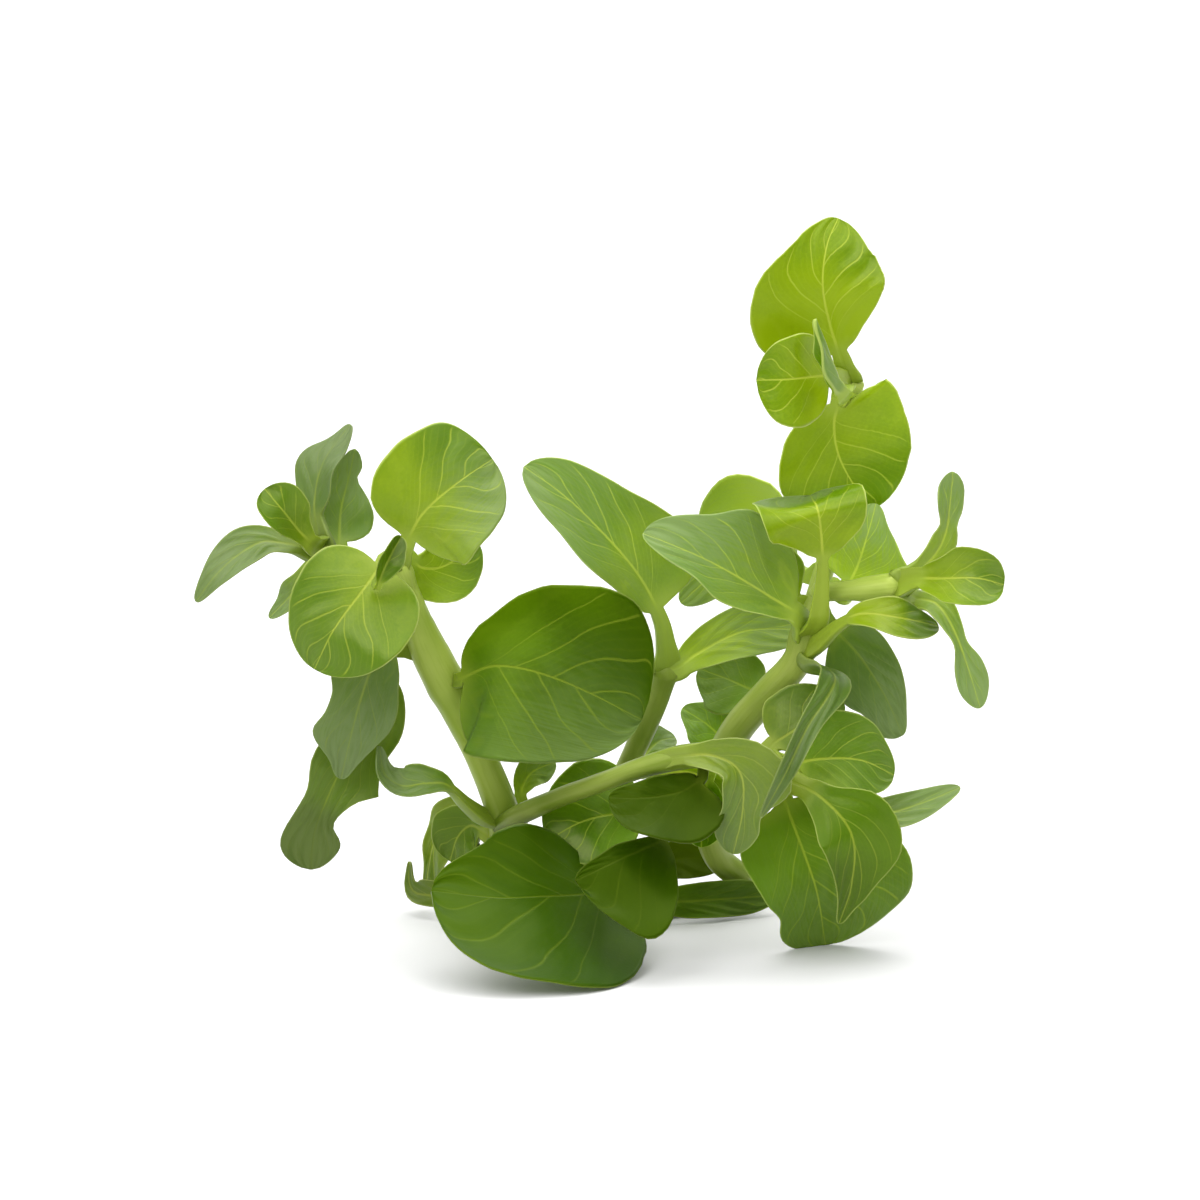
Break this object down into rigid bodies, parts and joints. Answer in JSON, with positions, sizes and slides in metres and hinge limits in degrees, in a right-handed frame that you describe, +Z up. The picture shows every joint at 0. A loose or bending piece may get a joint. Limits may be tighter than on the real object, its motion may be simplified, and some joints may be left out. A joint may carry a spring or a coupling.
{
  "type": "creeping jenny",
  "caption": "Cut clump of a trailing plant: upright shoots of round fleshy leaves on pale stems, rising from a short creeping stem that lies on the surface.",
  "frame": {"origin": "on the flat underside of the creeping stem, at its middle, level with the surface the plant rests on", "axes": "+X to the right as the plant is seen in the picture, +Y away from the viewer, +Z up"},
  "size_m": [0.1199, 0.0595, 0.11],
  "materials": {
    "fresh_leaf": "soft gloss, bright yellow-green, pale veins and rim",
    "grey_leaf": "soft gloss, grey-green, fine lengthwise lines",
    "deep_leaf": "soft gloss, deep green, pale veins and rim",
    "stem": "fleshy, soft gloss, pale green with fine lengthwise lines"
  },
  "bodies": {
    "root": {"creeping_stem": "stem", "left_stem": "stem", "left_side_stem": "stem", "centre_stem": "stem", "right_stem": "stem", "right_side_stem": "stem", "top_stem": "stem", "low_stem": "stem", "left_round_leaf": "fresh_leaf", "left_top_leaf": "fresh_leaf", "left_under_leaf": "fresh_leaf", "left_bud_leaf": "fresh_leaf", "left_drooping_leaf": "grey_leaf", "left_spoon_leaf": "fresh_leaf", "left_upright_leaf": "grey_leaf", "left_rear_leaf": "grey_leaf", "left_edge_leaf": "grey_leaf", "left_hanging_leaf": "grey_leaf", "left_curled_leaf": "fresh_leaf", "left_cupped_leaf": "grey_leaf", "centre_round_leaf": "deep_leaf", "centre_pointing_leaf": "grey_leaf", "centre_arching_leaf": "fresh_leaf", "centre_rear_leaf": "deep_leaf", "centre_low_leaf": "deep_leaf", "centre_small_leaf": "grey_leaf", "right_wide_leaf": "grey_leaf", "right_curled_leaf": "fresh_leaf", "right_small_leaf": "fresh_leaf", "right_pale_leaf": "fresh_leaf", "right_rear_leaf": "fresh_leaf", "right_hanging_leaf": "grey_leaf", "right_strap_leaf": "fresh_leaf", "right_cup_leaf": "fresh_leaf", "right_twisted_leaf": "grey_leaf", "right_drooping_leaf": "grey_leaf", "top_upright_leaf": "fresh_leaf", "top_hanging_leaf": "fresh_leaf", "top_round_leaf": "fresh_leaf", "top_bud_leaf": "fresh_leaf", "low_draped_leaf": "grey_leaf", "right_folded_leaf": "grey_leaf", "low_wide_leaf": "fresh_leaf", "low_front_leaf": "fresh_leaf", "low_large_leaf": "deep_leaf", "low_spur_leaf": "grey_leaf", "low_rear_leaf": "fresh_leaf", "foot_front_leaf": "deep_leaf", "foot_middle_leaf": "deep_leaf", "foot_upper_leaf": "fresh_leaf", "foot_dark_leaf": "deep_leaf", "foot_small_leaf": "deep_leaf", "foot_bright_leaf": "fresh_leaf", "foot_shaded_leaf": "deep_leaf", "foot_back_leaf": "deep_leaf", "foot_brown_leaf": "fresh_leaf", "foot_hooked_leaf": "fresh_leaf", "foot_left_leaf": "fresh_leaf", "foot_rim_leaf": "fresh_leaf"}
  },
  "joints": []
}
